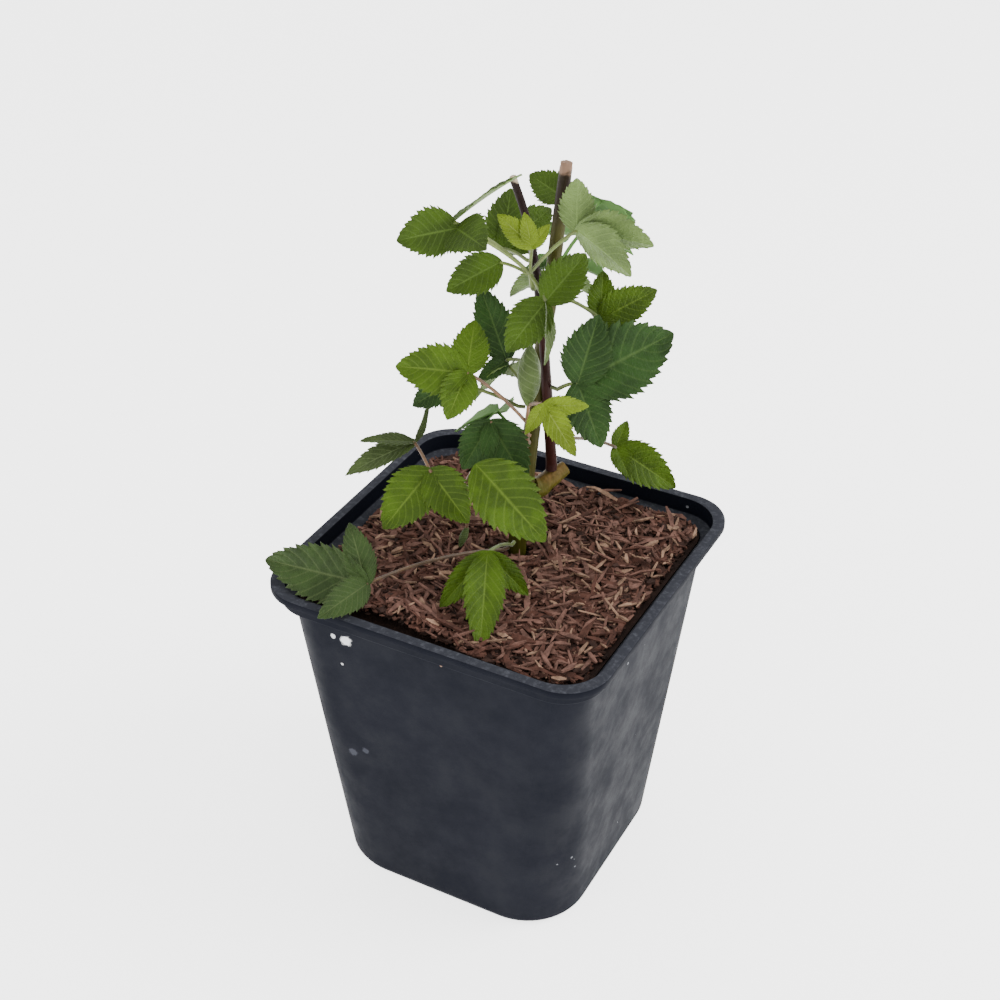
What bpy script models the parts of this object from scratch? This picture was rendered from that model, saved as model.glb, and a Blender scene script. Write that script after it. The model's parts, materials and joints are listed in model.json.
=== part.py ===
"""A young bramble in a square nursery pot: pot, bark fill, canes and sprays of leaves.

The pot stands on Z = 0 with its middle on the Z axis, and its walls face along X and Y.
Bearings are degrees in plan from +X towards +Y, and a rise is degrees above level.
"""
import math
import random
from collections import namedtuple

import bmesh
import bpy
from mathutils import Vector, noise
from mathutils.bvhtree import BVHTree

MM = 0.001
GAP = 0.3 * MM

# Pot: a tapered square shell with a collar and a flat turned-out lip
POT_HEIGHT = 133 * MM
LIP_HALF = 65 * MM
LIP_THICK = 1.8 * MM
COLLAR_HALF = 62.3 * MM
COLLAR_DEPTH = 8 * MM
WALL_TOP_HALF = 58.4 * MM
WALL_FOOT_HALF = 48.8 * MM
WALL_THICK = 1.2 * MM
CORNER_TOP = 13.5 * MM
CORNER_FOOT = 24 * MM
FOOT_BEVEL = 3 * MM
CORNER_STEPS = 6
DRAIN_RADIUS = 4.5 * MM
DRAIN_OUT = 27 * MM

# Bark fill: level round the canes, heaped against the front left wall
BARK_LEVEL = 126 * MM
BARK_HEAP = 5 * MM
BARK_HEAP_AT = (-15 * MM, -52 * MM)
BARK_HEAP_REACH = 26 * MM
BARK_BUMP = 0.7 * MM
BARK_RINGS = 6

# Canes: an old thick one cut at the top, the swollen crown on its side, and what grows there.
# A side cane leaves its parent at `height` and passes through its guide points (mm).
THICK_FOOT = Vector((1.5, 7.5, 0)) * MM
THICK_TIP = Vector((10, 21, 275)) * MM
THICK_RADII = (3.5 * MM, 2.2 * MM)
THICK_UPRIGHT = 4 * MM
SIDE_LEAD = 3 * MM
SideCane = namedtuple("SideCane", "name parent height guides radii finish")
SIDE_CANES = {
    "crown": SideCane("cane_crown", "thick", 153, [(8, 17.5, 154), (12, 24.5, 157)], (4.2, 2.6), "cane"),
    "stub": SideCane("cane_stub", "thick", 149, [(-5, 6, 152), (-8.5, 2, 166)], (1.5, 1.1), "cane"),
}
THIN_FOOT = (9, 18.6)
THIN_PATH = [(10, 12, 191), (7.5, 9.5, 228), (2, 9.5, 256), (-3.3, 8.5, 272)]
THIN_RADII = (2.1 * MM, 1.3 * MM)
CANE_RINGS = 14

# Leaves: blade proportions shared by every leaflet
BLADE_THICK = 0.4 * MM
BLADE_WIDTH = 0.66
BLADE_DROOP = 0.10
BLADE_FOLD = 0.22
BIG_BLADE = 24 * MM
STALK_SINK = 0.9 * MM
PETIOLE_RADIUS = 0.75 * MM
PETIOLE_STEPS = 4
PETIOLE_ARCH = 0.10
FRONT = (-62, 36)

# A leaf grows from `along` its shoot to `node`, with one (bearing, rise, length) a leaflet.
# Its upper side looks along `face`, and `width` is each blade's width over its length.
# A bud is a leaf still folded: one spindle.
Leaf = namedtuple("Leaf", "along node face blades width bud", defaults=[BLADE_WIDTH, False])
# A spray is one shoot from `height` on a cane to `tip`, and the leaves on it.
Spray = namedtuple("Spray", "name cane height tip radius leaves")

SPRAYS = [
    Spray("leaves_upper_shoot", "thin", 236, (6, 4, 242), 1.5, [
        Leaf(1.0, (-8, -20, 264), FRONT, [(-140, -6, 19), (-34, 6, 18)], 0.8),
        Leaf(1.0, (-9, -20, 266), (-150, 25), [(62, 28, 27)], 0.4),
        Leaf(0.8, (-4, 2, 244), FRONT, [(-130, -20, 20)]),
        Leaf(1.0, (9, -1, 254), FRONT, [(-164, 42, 15), (40, 52, 9), (164, 72, 11)], 0.5),
        Leaf(1.0, (21, 7, 259), (115, 20), [(24, -6, 25), (2, -26, 23), (124, 76, 17)]),
        Leaf(0.9, (13, 2, 234), FRONT, [(-108, -34, 21), (62, 40, 21)]),
        Leaf(0.9, (13, 2, 233), (30, 30), [(-56, -56, 20)], 0.6),
    ]),
    Spray("leaves_upper_back", "thin", 243, (-11, 17, 241), 0.8, [
        Leaf(1.0, (-11, 17, 241), FRONT, [(104, 56, 21), (62, 28, 23)]),
    ]),
    Spray("leaf_cane_top", "thick", 258, (6, 28, 259), 0.8, [
        Leaf(1.0, (6, 28, 259), FRONT, [(-174, 28, 14)], 0.8),
    ]),
    Spray("leaves_right_young", "thick", 227, (20, 31, 216), 0.8, [
        Leaf(1.0, (20, 31, 216), FRONT, [(112, 56, 17), (40, 26, 22), (-28, -12, 9)], 0.58),
    ]),
    Spray("leaves_right_large", "thin", 197, (23, 8, 203), 0.9, [
        Leaf(1.0, (23, 8, 203), FRONT, [(44, 24, 37), (-32, -46, 23), (76, 66, 24)], 0.68),
    ]),
    Spray("leaves_middle_shoot", "thick", 174, (8, 1, 194), 1.2, [
        Leaf(0.5, (-8, -13, 209), FRONT, [(-152, 6, 24), (104, 56, 18), (-94, -44, 17)], 0.7),
        Leaf(1.0, (8, 1, 195), FRONT, [(112, 82, 22)], bud=True),
        Leaf(1.0, (17.5, -6, 200), FRONT, [(28, 0, 15), (-98, -28, 12), (-22, -36, 20)], 0.42),
        Leaf(0.2, (-5, -2, 185), FRONT, [(-18, -42, 24), (-108, -46, 19)]),
    ]),
    Spray("leaves_back_left", "thick", 200, (-13, 25, 194), 0.8, [
        Leaf(1.0, (-13, 25, 194), FRONT, [(158, 58, 28), (-112, -14, 13)], 0.5),
    ]),
    Spray("leaf_middle_left", "thick", 186, (-21, -2, 196), 0.8, [
        Leaf(1.0, (-21, -2, 196), FRONT, [(-132, -26, 15)]),
    ]),
    Spray("leaves_left_shoot", "thick", 143, (-21, -16, 168), 1.2, [
        Leaf(1.0, (-32, -8, 172), (30, 45), [(-136, -16, 27), (-144, 10, 19), (64, 62, 15)], 0.36),
        Leaf(1.0, (-21, -16, 168), FRONT, [(-112, -36, 26), (-20, -30, 23)]),
        Leaf(0.6, (-3, -15, 175), FRONT, [(-12, -30, 35)], 0.62),
        Leaf(0.5, (-11, -8, 142), FRONT, [(-96, -52, 8)], bud=True),
    ]),
    Spray("leaves_front_low", "thick", 133, (6, -24, 147), 0.8, [
        Leaf(1.0, (6, -24, 147), FRONT, [(-66, -28, 35), (4, -40, 21), (-116, -36, 25)], 0.4),
    ]),
    Spray("leaves_over_left_rim", "thick", 130, (-27, -50, 139), 0.8, [
        Leaf(1.0, (-27, -50, 139), FRONT, [(-168, 4, 39), (146, 52, 22), (-104, -4, 22)], 0.5),
    ]),
    Spray("leaves_over_right_rim", "thin", 169, (19, 53, 152), 0.7, [
        Leaf(1.0, (19, 53, 152), FRONT, [(4, -24, 27), (80, 50, 11), (-34, -34, 13)], 0.55),
    ]),
]

# Far side: the same kind of leaf, set round the back of the thick cane by a seeded rule
FAR_COUNT = 8
FAR_TRIES = 60
FAR_LOW = 160
FAR_HIGH = 252
FAR_BEARINGS = (60, 180)
FAR_PETIOLE = (16, 24)
FAR_BLADE = (18, 24)
FAR_SPREAD = 68
FAR_SEED = 2

COLOURS = {
    "pot": ((0.035, 0.038, 0.052), 0.45),
    "bark": ((0.12, 0.055, 0.042), 0.95),
    "cane": ((0.06, 0.055, 0.012), 0.6),
    "cane_dark": ((0.03, 0.008, 0.008), 0.5),
    "leaf": ((0.07, 0.16, 0.03), 0.6),
}


def clear_scene():
    for thing in list(bpy.data.objects):
        bpy.data.objects.remove(thing, do_unlink=True)


def material(name):
    found = bpy.data.materials.get(name)
    if found:
        return found
    made = bpy.data.materials.new(name)
    made.use_nodes = True
    shader = made.node_tree.nodes["Principled BSDF"]
    colour, rough = COLOURS[name]
    shader.inputs["Base Color"].default_value = (*colour, 1)
    shader.inputs["Roughness"].default_value = rough
    shader.inputs["Metallic"].default_value = 0
    return made


def add_object(name, mesh, finish):
    thing = bpy.data.objects.new(name, mesh)
    bpy.context.collection.objects.link(thing)
    mesh.materials.clear()
    mesh.materials.append(material(finish))
    return thing


def mesh_from(bm, name):
    bmesh.ops.recalc_face_normals(bm, faces=bm.faces)
    mesh = bpy.data.meshes.new(name)
    bm.to_mesh(mesh)
    bm.free()
    return mesh


def shade_round(thing, degrees=40):
    thing.data.shade_smooth()
    thing.data.set_sharp_from_angle(angle=math.radians(degrees))


def vector_mm(point):
    return Vector(point) * MM


def direction(bearing, rise):
    """Unit vector from a bearing in plan and a rise above level, both in degrees."""
    b = math.radians(bearing)
    r = math.radians(rise)
    return Vector((math.cos(b) * math.cos(r), math.sin(b) * math.cos(r), math.sin(r)))


def square_ring(bm, half, corner, z):
    """One closed ring of vertices round a square with rounded corners."""
    ring = []
    for quarter in range(4):
        start = quarter * math.pi / 2
        middle = Vector((math.cos(start + math.pi / 4), math.sin(start + math.pi / 4), 0))
        middle *= (half - corner) * math.sqrt(2)
        for step in range(CORNER_STEPS + 1):
            turn = start + step * math.pi / 2 / CORNER_STEPS
            place = middle + corner * Vector((math.cos(turn), math.sin(turn), 0))
            ring.append(bm.verts.new((place.x, place.y, z)))
    return ring


def join_rings(bm, rings):
    for low, high in zip(rings, rings[1:]):
        for i in range(len(low)):
            j = (i + 1) % len(low)
            bm.faces.new((low[i], low[j], high[j], high[i]))


def wall_at(z, inset):
    """Half width and corner radius of the tapering wall at a height, moved in by an inset."""
    share = z / (POT_HEIGHT - COLLAR_DEPTH)
    half = WALL_FOOT_HALF + (WALL_TOP_HALF - WALL_FOOT_HALF) * share
    corner = CORNER_FOOT + (CORNER_TOP - CORNER_FOOT) * share
    return half - inset, corner - inset


def make_pot():
    shoulder = POT_HEIGHT - COLLAR_DEPTH
    lip_under = POT_HEIGHT - LIP_THICK
    collar_corner = CORNER_TOP + 2 * MM
    inner_collar = COLLAR_HALF - WALL_THICK
    foot_half, foot_corner = wall_at(0, 0)
    outside = [
        (foot_half - FOOT_BEVEL, foot_corner - FOOT_BEVEL, 0),
        (foot_half - 0.3 * FOOT_BEVEL, foot_corner - 0.3 * FOOT_BEVEL, 0.3 * FOOT_BEVEL),
        (*wall_at(FOOT_BEVEL, 0), FOOT_BEVEL),
        (*wall_at(shoulder, 0), shoulder),
        (COLLAR_HALF, collar_corner, shoulder + 0.5 * MM),
        (COLLAR_HALF, collar_corner, lip_under),
        (LIP_HALF, collar_corner + 1 * MM, lip_under - 1 * MM),
        (LIP_HALF, collar_corner + 1 * MM, POT_HEIGHT - 0.4 * MM),
        (LIP_HALF - 0.5 * MM, collar_corner + 0.5 * MM, POT_HEIGHT),
    ]
    inside = [
        (inner_collar + 0.4 * MM, collar_corner - 0.5 * MM, POT_HEIGHT),
        (inner_collar, collar_corner - WALL_THICK, POT_HEIGHT - 0.6 * MM),
        (inner_collar, collar_corner - WALL_THICK, shoulder + 1.6 * MM),
        (*wall_at(shoulder, WALL_THICK), shoulder + 1 * MM),
        (*wall_at(FOOT_BEVEL, WALL_THICK), FOOT_BEVEL),
        (foot_half - FOOT_BEVEL, foot_corner - FOOT_BEVEL, WALL_THICK),
    ]
    bm = bmesh.new()
    rings = [square_ring(bm, *size) for size in outside + inside]
    join_rings(bm, rings)
    bm.faces.new(rings[0])
    bm.faces.new(rings[-1])
    pot = add_object("pot", mesh_from(bm, "pot"), "pot")
    cut_drain_holes(pot)
    shade_round(pot, 35)
    return pot


def cut_drain_holes(pot):
    cutters = bpy.data.collections.new("drain holes")
    bpy.context.scene.collection.children.link(cutters)
    for sx in (-1, 1):
        for sy in (-1, 1):
            bm = bmesh.new()
            bmesh.ops.create_cone(
                bm, cap_ends=True, segments=12, radius1=DRAIN_RADIUS,
                radius2=DRAIN_RADIUS, depth=6 * WALL_THICK)
            bmesh.ops.translate(bm, verts=bm.verts, vec=(sx * DRAIN_OUT, sy * DRAIN_OUT, 0))
            hole = bpy.data.objects.new("drain hole", mesh_from(bm, "drain hole"))
            cutters.objects.link(hole)
    fuse(pot, cutters, "DIFFERENCE", "EXACT")


def bark_height(x, y):
    """Level in the middle, a low heap by the front left wall, and small bumps further out."""
    away = math.hypot(x - BARK_HEAP_AT[0], (y - BARK_HEAP_AT[1]) * 1.8)
    heap = BARK_HEAP * math.exp(-((away / BARK_HEAP_REACH) ** 2))
    edge = min(1, math.hypot(x, y) / (30 * MM)) ** 2
    bump = noise.noise(Vector((x, y, 0)) * 90) * BARK_BUMP
    return BARK_LEVEL + edge * (heap + bump)


def make_bark():
    bm = bmesh.new()
    shoulder = POT_HEIGHT - COLLAR_DEPTH
    inset = WALL_THICK + GAP
    floor = WALL_THICK + GAP
    sides = [(foot_z, *wall_at(foot_z, inset)) for foot_z in (FOOT_BEVEL + floor, shoulder - 1 * MM)]
    foot_half, foot_corner = wall_at(0, FOOT_BEVEL + GAP)
    rings = [square_ring(bm, foot_half, foot_corner, floor)]
    rings += [square_ring(bm, half, corner, z) for z, half, corner in sides]
    top_half, top_corner = wall_at(shoulder, inset)
    for step in range(BARK_RINGS):
        share = 1 - step / BARK_RINGS
        ring = square_ring(bm, top_half * share, top_corner * share, BARK_LEVEL)
        for vertex in ring:
            vertex.co.z = bark_height(vertex.co.x, vertex.co.y)
        rings.append(ring)
    join_rings(bm, rings)
    bm.faces.new(rings[0])
    middle = bm.verts.new((0, 0, bark_height(0, 0)))
    last = rings[-1]
    for i in range(len(last)):
        bm.faces.new((last[i], last[(i + 1) % len(last)], middle))
    bark = add_object("bark_fill", mesh_from(bm, "bark_fill"), "bark")
    shade_round(bark, 60)
    return bark


def smooth_path(points, steps):
    """Points along a Catmull-Rom curve through a few guide points."""
    guides = [points[0] * 2 - points[1], *points, points[-1] * 2 - points[-2]]
    spans = len(points) - 1
    path = []
    for step in range(steps + 1):
        place = min(step / steps * spans, spans - 1e-6)
        i = int(place)
        t = place - i
        a, b, c, d = guides[i:i + 4]
        path.append(0.5 * (2 * b + (c - a) * t + (2 * a - 5 * b + 4 * c - d) * t * t
                           + (3 * b - a - 3 * c + d) * t ** 3))
    return path


def tube(name, path, radii, resolution):
    """A round tube along a path as a mesh, tapering evenly from radii[0] to radii[1]."""
    curve = bpy.data.curves.new(name, "CURVE")
    curve.dimensions = "3D"
    curve.bevel_depth = 1
    curve.bevel_resolution = resolution
    curve.resolution_u = 1
    curve.render_resolution_u = 0
    curve.use_fill_caps = True
    spline = curve.splines.new("POLY")
    spline.points.add(len(path) - 1)
    for i, (point, place) in enumerate(zip(spline.points, path)):
        point.co = (*place, 1)
        point.radius = radii[0] + (radii[1] - radii[0]) * i / (len(path) - 1)
    guide = bpy.data.objects.new(name, curve)
    bpy.context.scene.collection.objects.link(guide)
    bpy.context.view_layer.update()
    shaped = guide.evaluated_get(bpy.context.evaluated_depsgraph_get())
    mesh = bpy.data.meshes.new_from_object(shaped)
    bpy.data.objects.remove(guide, do_unlink=True)
    bpy.data.curves.remove(curve)
    bm = bmesh.new()
    bm.from_mesh(mesh)
    bpy.data.meshes.remove(mesh)
    bmesh.ops.remove_doubles(bm, verts=bm.verts, dist=1e-6)
    return mesh_from(bm, name)


def top_under(solid, x, y, reach):
    """Highest point of a solid below a disc of the given radius round (x, y)."""
    tree = bvh_of(solid)
    spots = [(0, 0)] + [(reach * math.cos(turn), reach * math.sin(turn)) for turn in range(6)]
    hits = [tree.ray_cast(Vector((x + dx, y + dy, 1)), Vector((0, 0, -1)))[0] for dx, dy in spots]
    return max(hit.z for hit in hits if hit)


def side_cane(side, parent):
    """A branch's path: level out of its parent's side, 0.3 mm clear, then through its guides."""
    start, lead = beside_cane(parent, side.height * MM, vector_mm(side.guides[0]))
    guides = [start, start + lead * SIDE_LEAD] + [vector_mm(point) for point in side.guides]
    return smooth_path(guides, 2 * len(guides))


def make_canes():
    """Each cane's path, radii and solid, by its short name. The thin one stands on the crown."""
    canes = {}

    def add(key, name, path, radii, resolution, finish):
        solid = add_object(name, tube(name, path, radii, resolution), finish)
        shade_round(solid)
        canes[key] = (path, radii, solid)

    foot = THICK_FOOT + Vector((0, 0, BARK_LEVEL + GAP))
    upright = foot + Vector((0, 0, THICK_UPRIGHT))
    thick = [foot] + [upright.lerp(THICK_TIP, i / CANE_RINGS) for i in range(CANE_RINGS + 1)]
    add("thick", "cane_thick", thick, THICK_RADII, 4, "cane")
    for key, side in SIDE_CANES.items():
        radii = [radius * MM for radius in side.radii]
        add(key, side.name, side_cane(side, canes[side.parent]), radii, 3, side.finish)

    x, y = vector_mm((*THIN_FOOT, 0)).xy
    foot = Vector((x, y, top_under(canes["crown"][2], x, y, THIN_RADII[0]) + GAP))
    guides = [foot + Vector((0, 0, SIDE_LEAD))] + [vector_mm(point) for point in THIN_PATH]
    add("thin", "cane_thin", [foot] + smooth_path(guides, CANE_RINGS), THIN_RADII, 2, "cane_dark")
    return canes


def cane_at(cane, height):
    """Centre, axis and radius of a cane where it passes a height."""
    path, radii, _ = cane
    for i, (low, high) in enumerate(zip(path, path[1:])):
        if low.z <= height <= high.z or i == len(path) - 2:
            t = (height - low.z) / (high.z - low.z)
            share = (i + t) / (len(path) - 1)
            return low.lerp(high, t), (high - low).normalized(), radii[0] + (radii[1] - radii[0]) * share
    return None


def beside_cane(cane, height, target):
    """The point just clear of a cane's side that faces a target, and the way out there."""
    centre, axis, radius = cane_at(cane, height)
    lead = target - centre
    lead -= axis * lead.dot(axis)
    lead.normalize()
    return centre + lead * (radius + 1.3 * GAP), lead


def blade_sheet(bm, place, aim, face, length, width):
    """A toothed ovate leaflet as an open sheet, folded along its midrib and drooping to its tip.

    Half its width is sin(pi t^0.75)^0.8 along it, and each side has one tooth a station.
    """
    stations = 5 if length >= BIG_BLADE else 4
    side = aim.cross(face).normalized()
    up = side.cross(aim).normalized()

    def half(t):
        return 0.5 * width * length * math.sin(math.pi * min(t, 1) ** 0.75) ** 0.8

    def point(t, across):
        lift = BLADE_FOLD * abs(across) - BLADE_DROOP * length * t * t
        return bm.verts.new(place + aim * length * t + side * across + up * lift)

    ribs = [point(k / stations, 0) for k in range(stations + 1)]
    for sign in (-1, 1):
        notches = [point(0, sign * PETIOLE_RADIUS * 0.8)]
        notches += [point(k / stations, sign * 0.9 * half(k / stations)) for k in range(1, stations)]
        for k in range(stations):
            tooth = point((k + 0.62) / stations, sign * 1.08 * half((k + 0.5) / stations))
            faces = [(ribs[k], notches[k], tooth), (ribs[k], tooth, ribs[k + 1])]
            if k + 1 < stations:
                faces.append((ribs[k + 1], tooth, notches[k + 1]))
            for corners in faces:
                bm.faces.new(corners if sign < 0 else corners[::-1])
    return up


def blade(name, place, aim, face, length, width):
    bm = bmesh.new()
    up = blade_sheet(bm, place - aim * STALK_SINK, aim, face, length + STALK_SINK, width)
    grown = bmesh.ops.extrude_face_region(bm, geom=bm.faces[:])
    moved = [item for item in grown["geom"] if isinstance(item, bmesh.types.BMVert)]
    bmesh.ops.translate(bm, verts=moved, vec=-up * BLADE_THICK)
    return mesh_from(bm, name)


def bud(name, place, aim, length):
    """A folded leaf: a spindle of six sides, widest past its middle."""
    shares = [0.15, 0.6, 1.0, 0.95, 0.6, 0.08]
    path = [place + aim * (length * i / (len(shares) - 1) - STALK_SINK) for i in range(len(shares))]
    mesh = tube(name, path, (1, 1), 1)
    for vertex in mesh.vertices:
        along = (vertex.co - path[0]).dot(aim)
        centre = path[0] + aim * along
        share = shares[min(range(len(path)), key=lambda i: abs((path[i] - path[0]).length - along))]
        vertex.co = centre + (vertex.co - centre) * (share * 0.2 * length)
    return mesh


def petiole(name, start, lead, end, radius):
    """A leaf stalk that leaves its stem along `lead` and arches over to `end`."""
    reach = (end - start).length
    knee = start + lead * min(2.5 * MM, 0.3 * reach)
    top = (knee + end) / 2 + Vector((0, 0, PETIOLE_ARCH * reach))
    path = [start] + [
        knee * (1 - t) ** 2 + top * 2 * t * (1 - t) + end * t * t
        for t in [i / PETIOLE_STEPS for i in range(PETIOLE_STEPS + 1)]
    ]
    return tube(name, path, (radius, min(radius, PETIOLE_RADIUS)), 0)


def fuse(target, parts, operation="UNION", solver="MANIFOLD"):
    """Join or cut a target with every object of a collection, and remove the collection."""
    joint = target.modifiers.new("join", "BOOLEAN")
    joint.operand_type = "COLLECTION"
    joint.collection = parts
    joint.operation = operation
    joint.solver = solver
    bpy.context.view_layer.update()
    shaped = target.evaluated_get(bpy.context.evaluated_depsgraph_get())
    mesh = bpy.data.meshes.new_from_object(shaped)
    target.modifiers.remove(joint)
    target.data = mesh
    for part in list(parts.objects):
        bpy.data.objects.remove(part, do_unlink=True)
    bpy.data.collections.remove(parts)


def keep_main_body(thing):
    """Keep the largest closed body, so a loose scrap is dropped and a sealed hollow filled."""
    bm = bmesh.new()
    bm.from_mesh(thing.data)
    bmesh.ops.remove_doubles(bm, verts=bm.verts, dist=2e-6)
    bmesh.ops.triangulate(bm, faces=bm.faces)
    unseen = set(bm.verts)
    bodies = []
    while unseen:
        stack = [unseen.pop()]
        body = set(stack)
        while stack:
            for edge in stack.pop().link_edges:
                for vertex in edge.verts:
                    if vertex in unseen:
                        unseen.remove(vertex)
                        body.add(vertex)
                        stack.append(vertex)
        bodies.append(body)
    bodies.sort(key=len)
    for scrap in bodies[:-1]:
        bmesh.ops.delete(bm, geom=list(scrap), context="VERTS")
    bm.to_mesh(thing.data)
    bm.free()


def make_spray(spray, cane):
    tip = vector_mm(spray.tip)
    start, lead = beside_cane(cane, spray.height * MM, tip)
    single = len(spray.leaves) == 1
    stem = add_object(spray.name, petiole(spray.name, start, lead, tip, spray.radius * MM), "leaf")
    parts = bpy.data.collections.new(spray.name)
    bpy.context.scene.collection.children.link(parts)
    for leaf in spray.leaves:
        node = vector_mm(leaf.node)
        root = start.lerp(tip, leaf.along)
        meshes = []
        if (node - root).length > 2 * MM and not single:
            aim = (node - root).normalized()
            meshes.append(petiole("stalk", root - aim * STALK_SINK, aim, node, PETIOLE_RADIUS))
        face = direction(*leaf.face)
        for bearing, rise, length in leaf.blades:
            aim = direction(bearing, rise)
            if leaf.bud:
                meshes.append(bud("bud", node, aim, length * MM))
            else:
                meshes.append(blade("blade", node, aim, face, length * MM, leaf.width))
        for mesh in meshes:
            parts.objects.link(bpy.data.objects.new(mesh.name, mesh))
    fuse(stem, parts)
    keep_main_body(stem)
    stem.data.materials.clear()
    stem.data.materials.append(material("leaf"))
    shade_round(stem, 30)
    return stem


def bvh_of(thing):
    mesh = thing.data
    return BVHTree.FromPolygons([v.co for v in mesh.vertices], [p.vertices for p in mesh.polygons])


def far_sprays():
    """Leaves of the hidden side, spaced evenly up the cane, each turned by the golden angle."""
    chance = random.Random(FAR_SEED)
    low, high = FAR_BEARINGS
    for i in range(FAR_TRIES):
        height = FAR_LOW + (FAR_HIGH - FAR_LOW) * ((i * 0.618) % 1)
        bearing = low + (high - low) * ((i * 0.382 + 0.1) % 1)
        out = direction(bearing, chance.uniform(5, 30))
        reach = chance.uniform(*FAR_PETIOLE)
        size = chance.uniform(*FAR_BLADE)
        rise = chance.uniform(-45, -25)
        axis = THICK_FOOT.lerp(THICK_TIP, height * MM / THICK_TIP.z) / MM
        node = (axis.x + out.x * reach, axis.y + out.y * reach, height + out.z * reach)
        blades = [(bearing, rise, size)]
        blades += [(bearing + turn, rise + 8, size * 0.85) for turn in (-FAR_SPREAD, FAR_SPREAD)]
        leaf = Leaf(1.0, node, (bearing, 50), blades)
        yield Spray("leaves_far", "thick", height, node, 0.8, [leaf])


def make_far_side(canes, solids):
    """Grow the far side's leaves, and skip one that would touch a piece already there."""
    trees = [bvh_of(thing) for thing in solids]
    made = 0
    for spray in far_sprays():
        if made == FAR_COUNT:
            return
        solid = make_spray(spray, canes[spray.cane])
        tree = bvh_of(solid)
        if any(tree.overlap(other) for other in trees):
            bpy.data.objects.remove(solid, do_unlink=True)
            continue
        made += 1
        solid.name = f"leaves_far_{made:02d}"
        trees.append(tree)


def main():
    clear_scene()
    solids = [make_pot(), make_bark()]
    canes = make_canes()
    solids += [cane[2] for cane in canes.values()]
    solids += [make_spray(spray, canes[spray.cane]) for spray in SPRAYS]
    make_far_side(canes, solids)


main()
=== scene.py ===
"""Looks for the potted young bramble: pleated toothed leaflets, cut canes, bark chips and a satin pot.

Shapes are worked out in millimetres and made in metres, in the frame's own axes: the pot stands on
Z = 0 round the Z axis. Bearings and rises are in degrees. Only the room is given in metres.
"""
import json
import math
import random
from collections import namedtuple

import bmesh
import bpy
import numpy as np
from mathutils import Matrix, Vector

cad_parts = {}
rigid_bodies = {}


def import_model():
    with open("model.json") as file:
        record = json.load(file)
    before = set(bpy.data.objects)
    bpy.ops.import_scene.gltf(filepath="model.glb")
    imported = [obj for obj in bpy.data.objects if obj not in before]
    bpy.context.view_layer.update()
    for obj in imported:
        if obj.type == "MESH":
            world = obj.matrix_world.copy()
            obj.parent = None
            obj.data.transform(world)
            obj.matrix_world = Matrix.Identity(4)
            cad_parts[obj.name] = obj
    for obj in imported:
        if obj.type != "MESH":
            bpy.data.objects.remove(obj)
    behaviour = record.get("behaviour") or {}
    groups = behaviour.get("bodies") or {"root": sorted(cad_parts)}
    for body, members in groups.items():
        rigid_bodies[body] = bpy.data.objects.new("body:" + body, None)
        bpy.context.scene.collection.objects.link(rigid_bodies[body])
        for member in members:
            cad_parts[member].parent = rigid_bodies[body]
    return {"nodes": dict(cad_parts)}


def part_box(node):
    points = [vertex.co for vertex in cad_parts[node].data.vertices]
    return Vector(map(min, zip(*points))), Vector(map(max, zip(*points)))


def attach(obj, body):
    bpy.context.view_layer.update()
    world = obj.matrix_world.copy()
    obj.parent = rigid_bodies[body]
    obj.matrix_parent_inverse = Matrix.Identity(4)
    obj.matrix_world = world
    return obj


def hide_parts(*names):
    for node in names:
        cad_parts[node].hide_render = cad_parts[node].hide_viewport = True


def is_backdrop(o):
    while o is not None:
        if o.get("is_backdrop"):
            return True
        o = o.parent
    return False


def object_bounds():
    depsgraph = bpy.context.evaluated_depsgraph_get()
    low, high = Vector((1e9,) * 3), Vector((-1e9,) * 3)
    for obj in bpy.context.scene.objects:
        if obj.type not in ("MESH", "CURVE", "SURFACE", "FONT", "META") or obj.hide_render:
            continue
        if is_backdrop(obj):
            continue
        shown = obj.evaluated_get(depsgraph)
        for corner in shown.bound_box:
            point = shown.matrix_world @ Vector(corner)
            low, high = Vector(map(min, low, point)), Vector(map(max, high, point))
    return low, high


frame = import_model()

CAD_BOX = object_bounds()
MM = 0.001
GAP = 0.3
BODY = "root"

# Camera, placed in millimetres
CAMERA_AT = (235.35, -455.80, 493.32)
CAMERA_RIGHT = (0.88382, 0.46771, 0.01044)
CAMERA_UP = (-0.26621, 0.48445, 0.83333)
CAMERA_LENS = 62.51
SENSOR_WIDTH = 36

# Room, in metres and watts
FLOOR_REACH = 6.0
FLOOR_GLOW = 2.6
SKY = 1.3
LAMP_TARGET = (0, 0, 0.15)
Lamp = namedtuple("Lamp", "name at size power")
LAMPS = [Lamp("key", (1.1, 0.5, 1.3), 0.9, 22.0), Lamp("fill", (-0.6, -1.3, 1.2), 1.2, 5.0)]

# Pot
POT_HEIGHT = 133
LIP_HALF = 65
LIP_THICK = 1.8
COLLAR_HALF = 62.3
COLLAR_DEPTH = 8
WALL_TOP_HALF = 58.4
WALL_FOOT_HALF = 48.8
WALL_THICK = 1.2
CORNER_TOP = 13.5
CORNER_FOOT = 24
FOOT_BEVEL = 3
DRAIN_RADIUS = 4.5
DRAIN_OUT = 27
POT_CORNER_STEPS = 14
EDGE_SOFT = 0.45
DRAIN_SIDES = 24
POT_SHARP = 50
POT_GLOSS = 0.035
POT_SLATE = ((0.0042, 0.0050, 0.0088), (0.0060, 0.0068, 0.0110))
POT_DUST = (0.14, 0.145, 0.17)
# Specks: cells in a metre, share of the cells, greatest radius as a share of a cell, colour
POT_SPECKS = [(260.0, 0.03, 0.18, (0.16, 0.165, 0.18)), (120.0, 0.015, 0.07, (0.25, 0.24, 0.22)),
              (170.0, 0.015, 0.10, (0.09, 0.04, 0.025))]
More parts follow.
